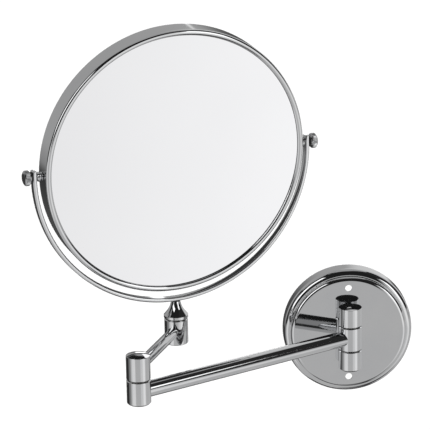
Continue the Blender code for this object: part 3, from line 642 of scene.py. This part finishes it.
def coped_tube(node, lay, length):
    """A round tube along X, its two ends hollowed to the barrels they meet."""
    low, high = size_of(node, lay)
    height = (low.z + high.z) / 2
    outer = (high.z - low.z) / 2
    inner = outer - ARM_WALL
    cope = BARREL_RADIUS + COPE_GAP
    bm = bmesh.new()
    rings = []
    for radius, ends in ((outer, (0, 1)), (inner, (1, 0))):
        for end in ends:
            points = []
            for k in range(TUBE_SIDES):
                angle = 2 * math.pi * k / TUBE_SIDES
                y = radius * math.cos(angle)
                reach = math.sqrt(cope * cope - y * y)
                x = length - reach if end else reach
                points.append((x, y, height + radius * math.sin(angle)))
            rings.append(ring(bm, points))
    for first, second in zip(rings, rings[1:] + rings[:1]):
        stitch(bm, first, second)
    stand_for(node, bm, "chrome", lay)


def build_arms():
    coped_tube("main_arm_tube", ARM_LAY, (ELBOW - BASE).length)
    coped_tube("forearm_tube", FOREARM_LAY, (STEM - ELBOW).length)


# ---------------------------------------------------------------- socket, cone and stem


SOCKET_EDGE = 0.15 * MM
CONE_BAND = 2.7 * MM  # height of the straight band at the cone's foot
CONE_BAND_EDGE = 0.12 * MM
CONE_LEDGE = 0.3 * MM  # ledge between the band and the hollow side
CONE_FOOT = 0.5 * MM  # slope under the band
CONE_FOOT_EDGE = 0.2 * MM
CONE_SEAT = BARREL_RADIUS - 0.3 * MM
CONE_NECK = 3.5 * MM
CONE_HOLLOW = 1.1 * MM
CONE_STEPS = 28
STEM_RADIUS = 2.0 * MM
SHANK_HOLE = 2.0 * MM


def build_socket():
    low, high = size_of("stem_socket", SOCKET_LAY)
    bore = size_of("stem_bush", SOCKET_LAY)[1].y + GAP
    recess = low.z + SOCKET_RECESS
    corners = washer_seat(high.z, 1, bore) + line_end(high.z, 1)
    corners += line_end(low.z, -1, SOCKET_EDGE)
    corners += [(RECESS_RADIUS, low.z, SOCKET_EDGE), (RECESS_RADIUS, recess, 0.0),
                (bore, recess, 0.0)]
    build_open_barrel("stem_socket", SOCKET_LAY, corners)


def build_cone():
    low, high = size_of("stem_cone", STEM_LAY)
    radius = high.y
    bore = STEM_RADIUS + GAP
    start = low.z + CONE_BAND
    corners = [(bore, high.z, 0.0)]
    for i in range(CONE_STEPS + 1):
        share = 1.0 - i / CONE_STEPS
        hollow = CONE_HOLLOW * math.sin(math.pi * share)
        r = CONE_NECK + (radius - CONE_LEDGE - CONE_NECK) * (1.0 - share) - hollow
        corners.append((r, start + (high.z - start) * share, 0.0))
    corners += [
        (radius, start - CONE_LEDGE, CONE_BAND_EDGE),
        (radius, low.z + CONE_FOOT, CONE_FOOT_EDGE),
        (CONE_SEAT, low.z, SOCKET_EDGE),
        (bore, low.z, 0.0),
    ]
    build_open_barrel("stem_cone", STEM_LAY, corners)


# ---------------------------------------------------------------- yoke


YOKE_THICKNESS = 3.2 * MM
YOKE_CORNER = 1.2 * MM
YOKE_STATIONS = 200
YOKE_TIP_EDGE = [(0.0, 0.5), (0.04, 0.3), (0.15, 0.15), (0.3, 0.04), (0.5, 0.0)]  # down, in: mm
STEM_COVER = 1.0 * MM  # metal left above the stem's hole
YOKE_DRILL = 10 * MM  # how far a hole's cutter reaches either side of the yoke's outside
STEM_DRILL = 5 * MM  # how far the stem hole's cutter starts below the yoke


def yoke_section(half_width, inset):
    """(outward, across) points of the bar's rounded section."""
    out = YOKE_THICKNESS / 2 - inset
    side = half_width - inset
    corner = YOKE_CORNER - inset
    corners = [(out, side, corner), (-out, side, corner), (-out, -side, corner),
               (out, -side, corner)]
    return rounded(corners, closed=True)


def yoke_stations(middle, tip):
    """(place, outward, inset) along the bar's middle, from the left tip round to the right."""
    stations = []
    for i in range(YOKE_STATIONS + 1):
        angle = math.pi + math.pi * i / YOKE_STATIONS
        outward = Vector((math.cos(angle), 0.0, math.sin(angle)))
        stations.append((outward * middle, outward, 0.0))
    ends = []
    for side in (-1.0, 1.0):
        ends.append([(Vector((side * middle, 0.0, tip - down * MM)), Vector((side, 0.0, 0.0)),
                      inset * MM) for down, inset in YOKE_TIP_EDGE])
    return ends[0] + stations + ends[1][::-1]


def yoke_holes(low, outer):
    """Cutters for the two thumbscrews' holes and the stem's blind hole."""
    tools = [("DIFFERENCE", drill(SHANK_HOLE, outer - YOKE_DRILL, outer + YOKE_DRILL, lay,
                                  (0, 0, PIVOT.z))) for lay in (RIGHT, LEFT)]
    tools.append(("DIFFERENCE", drill(STEM_RADIUS + GAP, low - STEM_DRILL,
                                      low + YOKE_THICKNESS - STEM_COVER,
                                      Matrix.Identity(4), (0, 0, 0))))
    return tools


def build_yoke():
    low, high = size_of("yoke_band", STEM_LAY)
    outer = high.x
    center = low.z + outer
    across = Vector((0.0, 1.0, 0.0))
    bm = bmesh.new()
    rings = []
    for place, outward, inset in yoke_stations(outer - YOKE_THICKNESS / 2, high.z - center):
        section = yoke_section(high.y, inset)
        rings.append(ring(bm, [place + outward * a + across * b for a, b in section]))
    for first, second in zip(rings, rings[1:]):
        stitch(bm, first, second)
    bm.faces.new(rings[0])
    bm.faces.new(rings[-1])
    bm.transform(Matrix.Translation((0.0, 0.0, center)))
    stand_for("yoke_band", bm, "chrome", STEM_LAY, yoke_holes(low.z, outer))


# ---------------------------------------------------------------- mirror head


RIM_LOW, RIM_HIGH = size_of("mirror_rim", HEAD_LAY)
RIM_RADIUS = RIM_HIGH.x
RIM_FRONT = -RIM_LOW.y
RIM_BACK = -RIM_HIGH.y
RIM_SHEET = 1.2 * MM
RIM_ROLL = 2.1 * MM  # rounding from the band to the lip
LIP_THICKNESS = 1.6 * MM
LIP_ROLL = 2.1 * MM  # width and depth of the lip's inner rounding
LIP_DROP = 1.4 * MM
LIP_STEPS = 14
RIM_EDGE = 0.3 * MM  # rounding of the band's back edge
RIM_DRILL = 5 * MM  # how far a hole's cutter reaches either side of the band
GLASS_EDGE = 0.3 * MM
MAGNIFIER_CURVE = 900.0 * MM
MAGNIFIER_THICKNESS = 2.2 * MM
LENS_RINGS = 40
BEZEL_EDGE = 0.1 * MM
BEZEL_OUTER_EDGE = 0.35 * MM  # rounding of its back face, outside and at the slope
BEZEL_INNER_EDGE = 0.3 * MM
BEZEL_SLOPE = (0.3 * MM, 0.5 * MM)  # width and depth of the slope down to the glass


def build_rim():
    inner = RIM_RADIUS - RIM_SHEET
    corners = [
        (RIM_RADIUS, RIM_BACK, RIM_EDGE),
        (inner, RIM_BACK, RIM_EDGE),
        (inner, RIM_FRONT - LIP_THICKNESS, 0.0),
        (LIP_RADIUS, RIM_FRONT - LIP_THICKNESS, 0.0),
    ]
    for i in range(LIP_STEPS + 1):
        angle = math.pi / 2 * i / LIP_STEPS
        corners.append((LIP_RADIUS + LIP_ROLL * (1.0 - math.cos(angle)),
                        RIM_FRONT - LIP_DROP * (1.0 - math.sin(angle)), 0.0))
    corners.append((RIM_RADIUS, RIM_FRONT, RIM_ROLL))
    bm = spun(rounded(corners, closed=True), RIM_SIDES, closed=True)
    bm.transform(FRONT)
    tools = [("DIFFERENCE", drill(SHANK_HOLE, RIM_RADIUS - RIM_DRILL, RIM_RADIUS + RIM_DRILL,
                                  lay, (0, 0, 0))) for lay in (LEFT, RIGHT)]
    stand_for("mirror_rim", bm, "chrome", HEAD_LAY, tools)


def build_front_glass():
    low, high = size_of("front_glass", HEAD_LAY)
    radius, front, back = high.x, -low.y, -high.y
    corners = [(0.0, front, 0.0), (radius, front, GLASS_EDGE), (radius, back, GLASS_EDGE),
               (0.0, back, 0.0)]
    stand_for("front_glass", spun(rounded(corners), RIM_SIDES), "mirror", HEAD_LAY @ FRONT)


def build_magnifying_glass():
    """A bent disc of even thickness: deepest in the middle, so its back face is hollow."""
    high = size_of("magnifying_glass", HEAD_LAY)[1]
    radius, edge = high.x, -high.y
    back = []
    for i in range(LENS_RINGS + 1):
        r = radius * i / LENS_RINGS
        back.append((r, edge + (radius * radius - r * r) / (2.0 * MAGNIFIER_CURVE)))
    front = [(r, height + MAGNIFIER_THICKNESS) for r, height in back]
    stand_for("magnifying_glass", spun(front + back[::-1], RIM_SIDES), "mirror",
              HEAD_LAY @ FRONT)


def build_bezel():
    low, high = size_of("rear_bezel", HEAD_LAY)
    outer, back, front = high.x, -high.y, -low.y
    width, depth = BEZEL_SLOPE
    corners = [
        (LIP_RADIUS, front, BEZEL_EDGE),
        (outer, front, BEZEL_EDGE),
        (outer, back, BEZEL_OUTER_EDGE),
        (LIP_RADIUS + width, back, BEZEL_INNER_EDGE),
        (LIP_RADIUS, back + depth, BEZEL_EDGE),
    ]
    stand_for("rear_bezel", spun(rounded(corners, closed=True), RIM_SIDES, closed=True),
              "chrome", HEAD_LAY @ FRONT)


# ---------------------------------------------------------------- pivots and thumbscrews


# The bead's outline from its end at the yoke, in mm as (radius, height, rounding): heights
# are measured from the ball's middle, then from the collar's face on the rim.
BEAD_END = (2.6, 0.2)  # radius and rounding
BEAD_BALL = [(3.2, 1.3, 0.9), (3.75, 0.15, 0.9), (3.4, -0.9, 0.6)]
BEAD_BALL_DROP = 1.8 * MM
BEAD_COLLAR = [(2.35, 0.95, 0.15), (3.4, 0.45, 0.15), (3.4, 0.0, 0.15)]
WASHER_EDGE = 0.15 * MM
KNOB_LENGTH = 5.0 * MM
KNOB_COLLAR = (4.0 * MM, 0.6 * MM)  # radius and height of the collar at the yoke
KNOB_COLLAR_EDGE = 0.1 * MM
KNOB_BACK = (0.9 * MM, 1.3 * MM)  # how far in and how high the head's back starts and ends
KNOB_BACK_EDGE = 0.2 * MM
KNOB_FACE = (1.6 * MM, 1.1 * MM)  # width and depth of the slope round the face
KNOB_FACE_EDGE = 0.6 * MM
KNOB_GRIP_EDGE = 0.5 * MM
KNURLS = 30
KNURL_DEPTH = 0.35 * MM
KNURL_FADE = 0.8 * MM
KNURL_BELOW = 1.2 * MM  # only this near the head's full radius
KNURL_ABOVE = 0.5 * MM  # and only this far from the yoke
KNURL_SHARPNESS = 1.5
SHANK_RADIUS = 1.7 * MM
SHANK_TIP = 0.4 * MM


def build_beads():
    for word, lay in (("left", LEFT), ("right", RIGHT)):
        node = "pivot_bead_" + word
        low, high = size_of(node, HEAD_LAY @ lay)
        corners = [(SHANK_HOLE, high.z, 0.0), (BEAD_END[0] * MM, high.z, BEAD_END[1] * MM)]
        for start, outline in ((high.z - BEAD_BALL_DROP, BEAD_BALL), (low.z, BEAD_COLLAR)):
            corners += [(r * MM, start + up * MM, edge * MM) for r, up, edge in outline]
        corners.append((SHANK_HOLE, low.z, 0.0))
        bm = spun(rounded(corners, closed=True), SMALL_SIDES, closed=True)
        stand_for(node, bm, "chrome", HEAD_LAY @ lay)


def build_yoke_washers():
    for word, lay in (("left", LEFT), ("right", RIGHT)):
        node = "yoke_washer_" + word
        turned = STEM_LAY @ Matrix.Translation((0.0, 0.0, PIVOT.z)) @ lay
        low, high = size_of(node, turned)
        corners = [(SHANK_HOLE, low.z, 0.0), (high.y, low.z, WASHER_EDGE),
                   (high.y, high.z, WASHER_EDGE), (SHANK_HOLE, high.z, 0.0)]
        bm = spun(rounded(corners, closed=True), SMALL_SIDES, closed=True)
        stand_for(node, bm, "black_plastic", turned)


def knurling(radius, start, end):
    """A function that pushes the grip's grooves in, fading towards its two ends."""
    grip_low, grip_high = start + KNOB_BACK[1], end - KNOB_FACE[1]

    def knurled(r, height, angle):
        if r < radius - KNURL_BELOW or height < start + KNURL_ABOVE:
            return r
        inside = min(height - grip_low, grip_high - height)
        fade = min(1.0, max(0.0, 1.0 + inside / KNURL_FADE))
        wave = (0.5 - 0.5 * math.cos(KNURLS * angle)) ** KNURL_SHARPNESS
        return r - KNURL_DEPTH * fade * wave

    return knurled


def thumbscrew_corners(radius, low, start, end):
    """Face, grip, back, collar and shank, from the outer end in."""
    collar, collar_height = KNOB_COLLAR
    return [
        (0.0, end, 0.0),
        (radius - KNOB_FACE[0], end, KNOB_FACE_EDGE),
        (radius, end - KNOB_FACE[1], KNOB_GRIP_EDGE),
        (radius, start + KNOB_BACK[1], KNOB_GRIP_EDGE),
        (radius - KNOB_BACK[0], start + collar_height, KNOB_BACK_EDGE),
        (collar, start + collar_height, KNOB_COLLAR_EDGE),
        (collar, start, KNOB_COLLAR_EDGE),
        (SHANK_RADIUS, start, 0.0),
        (SHANK_RADIUS, low + SHANK_TIP, 0.0),
        (SHANK_RADIUS - SHANK_TIP, low, 0.0),
        (0.0, low, 0.0),
    ]


def build_thumbscrews():
    for word, lay in (("left", LEFT), ("right", RIGHT)):
        node = "thumbscrew_" + word
        low, high = size_of(node, HEAD_LAY @ lay)
        start = high.z - KNOB_LENGTH
        corners = thumbscrew_corners(high.y, low.z, start, high.z)
        bm = spun(rounded(corners), 6 * KNURLS, radius_at=knurling(high.y, start, high.z))
        stand_for(node, bm, "chrome", HEAD_LAY @ lay)


# ---------------------------------------------------------------- the rest of the CAD


def dress_carried_over():
    """Gives the nodes that stay as they are their finished materials, by their slot's name."""
    for node in frame["nodes"].values():
        if node.hide_render:
            continue
        for slot in node.material_slots:
            slot.material = MATERIALS[slot.material.name.split(".")[0]]


# ---------------------------------------------------------------- camera and studio


FLOOR_DROP = 0.5
FLOOR_HALF = 6.0


def build_camera():
    a, e, r = [math.radians(x) for x in (CAMERA_AZIMUTH, CAMERA_ELEVATION, CAMERA_ROLL)]
    back = Vector((math.sin(a) * math.cos(e), -math.cos(a) * math.cos(e), math.sin(e)))
    level = Vector((math.cos(a), math.sin(a), 0.0))
    up = back.cross(level)
    right = math.cos(r) * level + math.sin(r) * up
    top = math.cos(r) * up - math.sin(r) * level
    camera = bpy.data.cameras.new("camera")
    camera.lens = CAMERA_LENS
    camera.sensor_width = CAMERA_SENSOR
    camera.clip_start, camera.clip_end = CAMERA_CLIP
    obj = bpy.data.objects.new("camera", camera)
    place = CAMERA_AIM + back * CAMERA_DISTANCE
    turn = Matrix((right, top, back)).transposed()
    obj.matrix_world = Matrix.Translation(place) @ turn.to_4x4()
    bpy.context.scene.collection.objects.link(obj)
    bpy.context.scene.camera = obj


def build_floor():
    material, nodes, links, shader, place = new_material("floor", (0.9, 0.9, 0.9), 0.8, 0.0)
    cloud = noise(nodes, links, place, 3.0, 2.0)
    links.new(blended(nodes, links, cloud, (0.93, 0.93, 0.93), (0.96, 0.96, 0.96)),
              shader.inputs["Base Color"])
    bm = bmesh.new()
    height = CAD_BOX[0].z - FLOOR_DROP
    corners = [(-1, -1), (1, -1), (1, 1), (-1, 1)]
    bm.faces.new([bm.verts.new((x * FLOOR_HALF, y * FLOOR_HALF, height)) for x, y in corners])
    floor = to_object("floor", bm, material)
    floor.visible_glossy = False


# (azimuth, elevation, roll, half width, half height, softness, radiance): soft boxes and flags
# of the studio, painted in this order over the plain surround. Angles in degrees, round the
# object: azimuth 0 is towards the camera and 90 to its right. Sizes are tangents.
SKY = 0.48  # plain surround above the horizon
GROUND = 0.64  # and below it
SOFT_LIGHT = 1.2  # even light that falls on matt surfaces, such as the floor
HORIZON = -11.0
HORIZON_BLUR = 0.05  # half the height of the change between them
STUDIO = [
    (-139.0, -30.0, 0.0, 2.20, 0.42, 0.35, 0.42),  # dark corner, left and behind, in steps
    (-139.0, -30.0, 0.0, 1.20, 0.36, 0.25, 0.28),
    (-139.0, -31.0, 0.0, 0.65, 0.30, 0.10, 0.04),
    (180.0, -18.0, 0.0, 0.60, 0.50, 0.60, 0.08),  # dark backdrop, behind and below
    (180.0, -70.0, 0.0, 0.38, 0.38, 0.10, 0.05),  # dark foot of the stand
    (40.0, -62.0, 0.0, 0.25, 0.26, 0.12, 0.06),  # dark patch on the floor
    (132.0, 26.0, 0.0, 0.75, 0.62, 0.20, 0.80),  # grey wall, right and behind
    (176.0, 9.0, 0.0, 0.06, 0.11, 0.03, 2.2),  # narrow window, low behind
    (-22.0, 33.0, 0.0, 1.20, 0.93, 0.08, 0.02),  # dark ceiling, above and in front
    (-88.0, 12.0, 0.0, 0.40, 0.42, 0.10, 0.04),  # black flag, left
    (40.0, 50.0, 0.0, 0.50, 0.40, 0.08, 0.02),  # black flag, high on the right
    (86.0, 30.0, 0.0, 0.55, 0.62, 0.08, 0.03),  # black flag, right
    (-62.0, -18.0, 0.0, 0.22, 0.12, 0.12, 0.75),  # dim edge of the left soft box
    (-46.0, -22.0, 0.0, 0.26, 0.40, 0.16, 1.02),  # left soft box, lower part
    (-43.0, 24.0, 40.0, 0.20, 0.42, 0.06, 2.0),  # left soft box
    (41.0, -22.0, 0.0, 0.38, 0.34, 0.20, 0.86),  # right soft box, lower part
    (54.0, -24.0, 0.0, 0.20, 0.20, 0.30, 1.14),  # brighter towards its edge
    (41.0, -7.0, 0.0, 0.34, 0.20, 0.10, 1.17),  # brighter towards its top
    (51.5, 15.0, 20.0, 0.155, 0.32, 0.02, 2.0),  # right soft box
]


def card_mask(nodes, links, direction, card):
    """How much of a ray's direction falls on one card: 1 inside it, 0 outside."""
    azimuth, elevation, roll, half_width, half_height, softness, _ = card
    a, e, r = [math.radians(x) for x in (azimuth, elevation, roll)]
    toward = Vector((math.sin(a) * math.cos(e), -math.cos(a) * math.cos(e), math.sin(e)))
    level = Vector((math.cos(a), math.sin(a), 0.0))
    up = level.cross(toward)
    axes = (math.cos(r) * level + math.sin(r) * up, math.cos(r) * up - math.sin(r) * level)
    ahead = dot(nodes, links, direction, toward)
    mask = calculate(nodes, links, "GREATER_THAN", ahead, 0.01)
    for axis, half in zip(axes, (half_width, half_height)):
        across = calculate(nodes, links, "DIVIDE", dot(nodes, links, direction, axis), ahead)
        distance = calculate(nodes, links, "ABSOLUTE", across)
        inside = nodes.new("ShaderNodeMapRange")
        inside.interpolation_type = "SMOOTHSTEP"
        inside.inputs["From Min"].default_value = half + softness / 2
        inside.inputs["From Max"].default_value = half - softness / 2
        links.new(distance, inside.inputs["Value"])
        mask = calculate(nodes, links, "MULTIPLY", mask, inside.outputs["Result"])
    return mask


def dot(nodes, links, vector, axis):
    node = nodes.new("ShaderNodeVectorMath")
    node.operation = "DOT_PRODUCT"
    links.new(vector, node.inputs[0])
    node.inputs[1].default_value = axis
    return node.outputs["Value"]


def calculate(nodes, links, operation, first, second=None):
    node = nodes.new("ShaderNodeMath")
    node.operation = operation
    links.new(first, node.inputs[0])
    if isinstance(second, float):
        node.inputs[1].default_value = second
    elif second is not None:
        links.new(second, node.inputs[1])
    return node.outputs["Value"]


def build_world():
    """A studio drawn by direction: the camera itself sees plain white, and so does the floor."""
    scene = bpy.context.scene
    scene.view_settings.view_transform = "Standard"
    world = bpy.data.worlds.new("studio")
    scene.world = world
    world.use_nodes = True
    nodes, links = world.node_tree.nodes, world.node_tree.links
    direction = nodes.new("ShaderNodeTexCoord").outputs["Generated"]
    height = dot(nodes, links, direction, (0.0, 0.0, 1.0))
    ramp = nodes.new("ShaderNodeMapRange")
    ramp.interpolation_type = "SMOOTHSTEP"
    horizon = math.sin(math.radians(HORIZON))
    ramp.inputs["From Min"].default_value = horizon - HORIZON_BLUR
    ramp.inputs["From Max"].default_value = horizon + HORIZON_BLUR
    ramp.inputs["To Min"].default_value = GROUND
    ramp.inputs["To Max"].default_value = SKY
    links.new(height, ramp.inputs["Value"])
    light = ramp.outputs["Result"]
    for card in STUDIO:
        mix = nodes.new("ShaderNodeMix")
        links.new(card_mask(nodes, links, direction, card), mix.inputs["Factor"])
        links.new(light, mix.inputs["A"])
        mix.inputs["B"].default_value = card[-1]
        light = mix.outputs["Result"]
    path = nodes.new("ShaderNodeLightPath")
    for ray, radiance in (("Is Diffuse Ray", SOFT_LIGHT), ("Is Camera Ray", 1.0)):
        mix = nodes.new("ShaderNodeMix")
        links.new(path.outputs[ray], mix.inputs["Factor"])
        links.new(light, mix.inputs["A"])
        mix.inputs["B"].default_value = radiance
        light = mix.outputs["Result"]
    background = nodes["Background"]
    background.inputs["Color"].default_value = (1.0, 1.0, 1.0, 1.0)
    links.new(light, background.inputs["Strength"])


build_wall_plate()
build_bracket_knuckles()
build_end_caps()
build_base_swivel()
build_elbow()
build_arms()
build_socket()
build_cone()
build_yoke()
build_rim()
build_front_glass()
build_magnifying_glass()
build_bezel()
build_beads()
build_yoke_washers()
build_thumbscrews()
dress_carried_over()
build_camera()
build_floor()
build_world()
